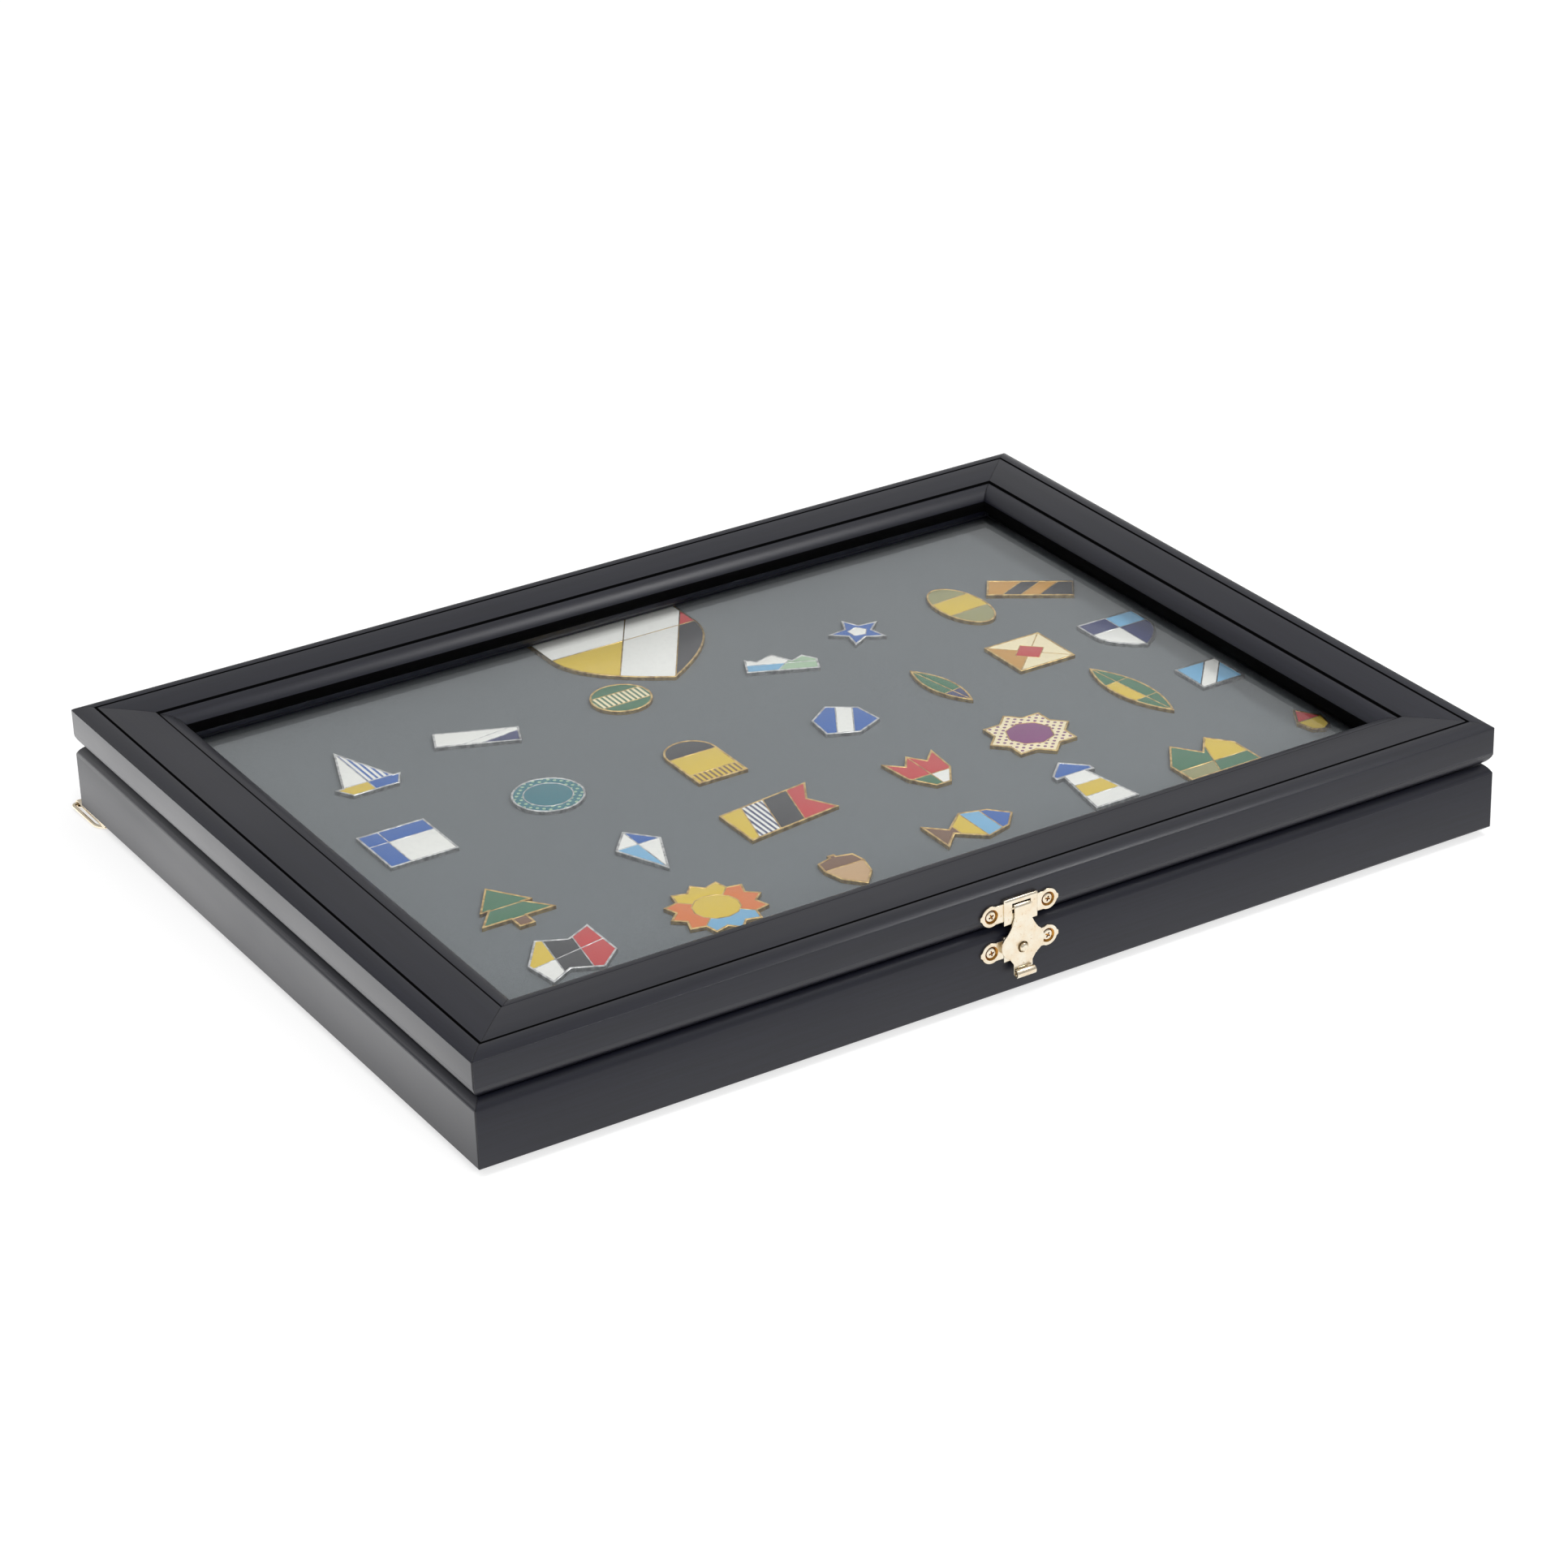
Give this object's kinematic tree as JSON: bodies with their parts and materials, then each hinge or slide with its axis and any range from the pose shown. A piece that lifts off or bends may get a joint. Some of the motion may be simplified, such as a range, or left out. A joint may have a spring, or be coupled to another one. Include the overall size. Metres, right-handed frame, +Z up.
{
  "type": "enamel pin display case",
  "caption": "Flat wooden display case with a hinged glass lid, front latch and rear hanging rings, holding enamel pins on a felt-covered board.",
  "frame": {"origin": "centre of the case's footprint on the surface that its bumpers stand on", "axes": "+X along the long side, +Y from the latch to the hinges, +Z up out of the glass"},
  "size_m": [0.4036, 0.3116, 0.0434],
  "materials": {
    "black_lacquered_wood": "semi-gloss black lacquer, grain filled",
    "hardboard": "plain brown hardboard",
    "foam": "closed-cell foam, matt",
    "grey_felt": "short dense felt",
    "clear_glass": "clear float glass",
    "polished_brass": "bright plated",
    "gilt_pin_metal": "die-struck, gilt, with coloured enamel in its cells",
    "silver_pin_metal": "die-struck, nickelled, with coloured enamel in its cells",
    "black_rubber": "matt"
  },
  "bodies": {
    "case": {"bottom_panel": "hardboard", "box_wall_back": "black_lacquered_wood", "box_wall_front": "black_lacquered_wood", "box_wall_left": "black_lacquered_wood", "box_wall_right": "black_lacquered_wood", "bumpers": "black_rubber", "catch_plate": "polished_brass", "felt_cover": "grey_felt", "foam_pad": "foam", "hanger_screws": "polished_brass", "hanger_strap_left": "polished_brass", "hanger_strap_right": "polished_brass", "hinge_left_case_leaf": "polished_brass", "hinge_pins": "polished_brass", "hinge_right_case_leaf": "polished_brass", "hinge_screws_case": "polished_brass", "latch_screws_case": "polished_brass", "pin_acorn": "gilt_pin_metal", "pin_banded_disc": "gilt_pin_metal", "pin_banner": "gilt_pin_metal", "pin_chevron_bar": "gilt_pin_metal", "pin_drop": "gilt_pin_metal", "pin_feather": "gilt_pin_metal", "pin_fir_tree": "gilt_pin_metal", "pin_fish": "gilt_pin_metal", "pin_great_shield": "gilt_pin_metal", "pin_harlequin": "silver_pin_metal", "pin_hexagon": "silver_pin_metal", "pin_hills": "silver_pin_metal", "pin_kite": "silver_pin_metal", "pin_lantern": "gilt_pin_metal", "pin_lighthouse": "silver_pin_metal", "pin_long_leaf": "gilt_pin_metal", "pin_lozenge": "gilt_pin_metal", "pin_oval": "gilt_pin_metal", "pin_quarters": "silver_pin_metal", "pin_rosette": "gilt_pin_metal", "pin_sailboat": "silver_pin_metal", "pin_slanted_tile": "silver_pin_metal", "pin_small_shield": "silver_pin_metal", "pin_star": "silver_pin_metal", "pin_sun": "gilt_pin_metal", "pin_teal_disc": "silver_pin_metal", "pin_tulip": "gilt_pin_metal", "pin_two_peaks": "gilt_pin_metal", "pin_wave_bar": "silver_pin_metal"},
    "lid": {"lid_rail_back": "black_lacquered_wood", "lid_rail_front": "black_lacquered_wood", "lid_rail_left": "black_lacquered_wood", "lid_rail_right": "black_lacquered_wood", "glass_pane": "clear_glass", "glazing_strips": "black_lacquered_wood", "hinge_left_lid_leaf": "polished_brass", "hinge_right_lid_leaf": "polished_brass", "hinge_screws_lid": "polished_brass", "latch_plate": "polished_brass", "latch_screws_lid": "polished_brass"},
    "tongue": {"latch_tongue": "polished_brass"},
    "ring_left": {"hanger_ring_left": "polished_brass"},
    "ring_right": {"hanger_ring_right": "polished_brass"}
  },
  "joints": [
    {"name": "lid_hinge", "type": "hinge", "parent": "case", "child": "lid", "pos_m": [0, 0.148, 0.0275], "axis": [-1, 0, 0], "range_deg": [0, 115]},
    {"name": "latch_swing", "type": "hinge", "parent": "lid", "child": "tongue", "pos_m": [0.0012, -0.1515, 0.0345], "axis": [-1, 0, 0], "range_deg": [0, 105]},
    {"name": "ring_left_swing", "type": "hinge", "parent": "case", "child": "ring_left", "pos_m": [-0.195, 0.1552, 0.00165], "axis": [1, 0, 0], "range_deg": [0, 180]},
    {"name": "ring_right_swing", "type": "hinge", "parent": "case", "child": "ring_right", "pos_m": [0.195, 0.1552, 0.00165], "axis": [1, 0, 0], "range_deg": [0, 180]}
  ]
}
